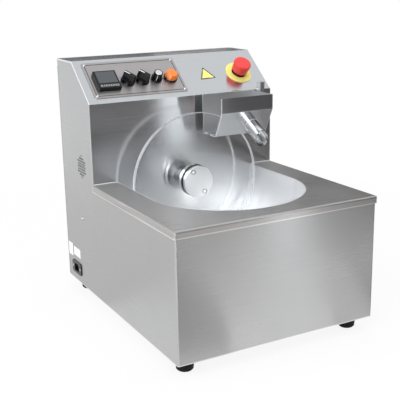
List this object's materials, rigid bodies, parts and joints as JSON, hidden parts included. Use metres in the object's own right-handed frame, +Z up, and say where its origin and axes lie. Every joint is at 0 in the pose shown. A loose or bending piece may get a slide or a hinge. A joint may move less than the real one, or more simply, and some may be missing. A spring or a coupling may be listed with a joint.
{
  "type": "chocolate melting tank",
  "caption": "Tabletop wheel-type chocolate melting tank: stainless cabinet with heated bowl, clear turning wheel, lift-off scraper trough with spout and slanted control panel.",
  "frame": {"origin": "on the floor under the middle of the machine's box", "axes": "+X to the right as the user faces the front, +Y to the back, +Z up"},
  "size_m": [0.42, 0.53, 0.5],
  "materials": {
    "cabinet_steel": "brushed stainless sheet",
    "polished_steel": "polished stainless",
    "trough_steel": "satin stainless sheet",
    "inner_steel": "plain sheet",
    "screw_steel": "bright",
    "clear_disc": "clear polished",
    "foot_rubber": "matte",
    "heater_silicone": "matte",
    "insulation": "matte fibre",
    "brass": "satin",
    "seal_white": "matte",
    "cast_housing": "as cast",
    "motor_paint": "semi-gloss",
    "plate_aluminium": "satin anodised",
    "black_plastic": "satin",
    "pot_metal": "plain",
    "window_grey": "glossy",
    "key_grey": "satin",
    "lens_orange": "glossy",
    "stop_yellow": "satin",
    "stop_red": "satin",
    "board_green": "satin",
    "terminal_ivory": "satin"
  },
  "bodies": {
    "cabinet": {"body_wrap": "cabinet_steel", "deck": "cabinet_steel", "bowl": "polished_steel", "console_face": "cabinet_steel", "rear_cover": "cabinet_steel", "rear_cover_screws": "screw_steel", "base_tray": "inner_steel", "feet": "foot_rubber", "foot_screws": "screw_steel", "side_screws": "screw_steel", "heater_mat": "heater_silicone", "insulation_jacket": "insulation", "bowl_sensor": "brass", "shaft_seal": "seal_white", "bearing_housing": "cast_housing", "bearing_studs": "screw_steel", "gearbox": "cast_housing", "drive_motor": "motor_paint", "motor_beam": "inner_steel", "motor_screws": "screw_steel", "hanger_bracket": "trough_steel", "hanger_screws": "screw_steel", "control_plate": "plate_aluminium", "control_plate_screws": "screw_steel", "controller_case": "black_plastic", "controller_window": "window_grey", "heat_switch_body": "black_plastic", "wheel_switch_body": "black_plastic", "speed_pot": "pot_metal", "lamp_ring": "black_plastic", "lamp_lens": "lens_orange", "stop_collar": "stop_yellow", "stop_body": "black_plastic", "power_inlet": "black_plastic", "inlet_pins": "brass", "inlet_screws": "screw_steel", "control_board": "board_green", "terminal_block": "terminal_ivory"},
    "wheel": {"wheel_disc": "clear_disc", "hub_front_flange": "polished_steel", "hub_rear_flange": "polished_steel", "hub_screws": "screw_steel", "drive_shaft": "polished_steel", "shaft_coupling": "inner_steel", "gearbox_shaft": "polished_steel"},
    "scraper": {"trough_front_sheet": "trough_steel", "trough_back_sheet": "trough_steel", "trough_end_plate": "trough_steel", "trough_spout": "trough_steel", "trough_sleeve": "trough_steel"},
    "heat_selector": {"heat_knob": "black_plastic"},
    "wheel_selector": {"wheel_knob": "black_plastic"},
    "speed_dial": {"speed_knob": "black_plastic", "speed_knob_cap": "plate_aluminium"},
    "stop_plunger": {"stop_stem": "pot_metal"},
    "stop_button": {"stop_head": "stop_red"},
    "key_1": {"controller_key_1": "key_grey"},
    "key_2": {"controller_key_2": "key_grey"},
    "key_3": {"controller_key_3": "key_grey"},
    "key_4": {"controller_key_4": "key_grey"}
  },
  "joints": [
    {"name": "wheel_turn", "type": "hinge", "parent": "cabinet", "child": "wheel", "pos_m": [0, 0.048, 0.256], "axis": [0, 1, 0], "continuous": true},
    {"name": "scraper_lift", "type": "slide", "parent": "cabinet", "child": "scraper", "axis": [0, 0, 1], "range_m": [0, 0.06]},
    {"name": "heat_selector_turn", "type": "hinge", "parent": "cabinet", "child": "heat_selector", "pos_m": [-0.1085, 0.12273, 0.46537], "axis": [0, -0.641, 0.7675], "range_deg": [-90, 0]},
    {"name": "wheel_selector_turn", "type": "hinge", "parent": "cabinet", "child": "wheel_selector", "pos_m": [-0.0765, 0.12273, 0.46537], "axis": [0, -0.641, 0.7675], "range_deg": [-90, 0]},
    {"name": "speed_dial_turn", "type": "hinge", "parent": "cabinet", "child": "speed_dial", "pos_m": [-0.0445, 0.12273, 0.46537], "axis": [0, -0.641, 0.7675], "range_deg": [-300, 0]},
    {"name": "stop_push", "type": "slide", "parent": "cabinet", "child": "stop_plunger", "axis": [0, 0.641, -0.7675], "range_m": [0, 0.005]},
    {"name": "stop_twist", "type": "hinge", "parent": "stop_plunger", "child": "stop_button", "pos_m": [0.1515, 0.11632, 0.47304], "axis": [0, -0.641, 0.7675], "range_deg": [-40, 0], "stiffness_Nm_per_rad": 0.05},
    {"name": "key_1_press", "type": "slide", "parent": "cabinet", "child": "key_1", "axis": [0, 0.641, -0.7675], "range_m": [0, 0.0008], "stiffness_N_per_m": 250},
    {"name": "key_2_press", "type": "slide", "parent": "cabinet", "child": "key_2", "axis": [0, 0.641, -0.7675], "range_m": [0, 0.0008], "stiffness_N_per_m": 250},
    {"name": "key_3_press", "type": "slide", "parent": "cabinet", "child": "key_3", "axis": [0, 0.641, -0.7675], "range_m": [0, 0.0008], "stiffness_N_per_m": 250},
    {"name": "key_4_press", "type": "slide", "parent": "cabinet", "child": "key_4", "axis": [0, 0.641, -0.7675], "range_m": [0, 0.0008], "stiffness_N_per_m": 250}
  ]
}
